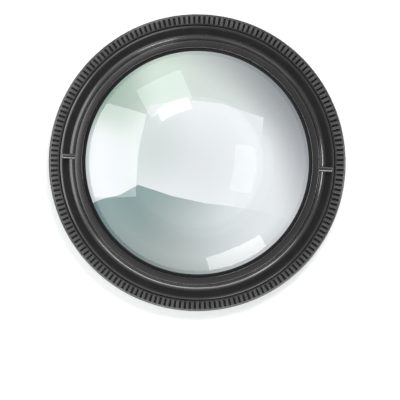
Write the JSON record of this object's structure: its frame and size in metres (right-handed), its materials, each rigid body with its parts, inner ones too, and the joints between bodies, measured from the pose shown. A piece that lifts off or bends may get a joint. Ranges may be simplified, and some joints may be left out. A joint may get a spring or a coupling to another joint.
{
  "type": "magnifier lens cell",
  "caption": "Round magnifier lens cell: thick biconvex glass held between a ribbed grip ring and a screw-in barrel with opposed bayonet pins.",
  "frame": {"origin": "centre of the grip ring's rear face, on the optical axis", "axes": "+Z along the optical axis from the rear face to the bayonet side, +X along the right-hand bayonet pin"},
  "size_m": [0.1612, 0.1612, 0.039],
  "materials": {
    "grip_ring": "satin black, moulded",
    "bayonet_barrel": "satin black, moulded",
    "bayonet_pin": "semi-gloss black",
    "glass": "clear polished crown glass, anti-reflection coated",
    "slip_washer": "matt black",
    "gasket": "matt black"
  },
  "bodies": {
    "ring": {"grip_ring": "grip_ring", "lens": "glass", "rear_gasket": "gasket", "front_gasket": "gasket"},
    "washer": {"slip_washer": "slip_washer"},
    "barrel": {"bayonet_barrel": "bayonet_barrel", "bayonet_pin_left": "bayonet_pin", "bayonet_pin_right": "bayonet_pin"}
  },
  "joints": [
    {"name": "barrel_lift", "type": "slide", "parent": "ring", "child": "washer", "axis": [0, 0, 1], "range_m": [0, 0.006]},
    {"name": "barrel_unscrew", "type": "hinge", "parent": "washer", "child": "barrel", "pos_m": [0, 0, 0.018], "axis": [0, 0, 1], "range_deg": [0, 360]}
  ],
  "couplings": [
    {"joint": "barrel_lift", "follows": "barrel_unscrew", "m_per_rad": 0.000954}
  ]
}
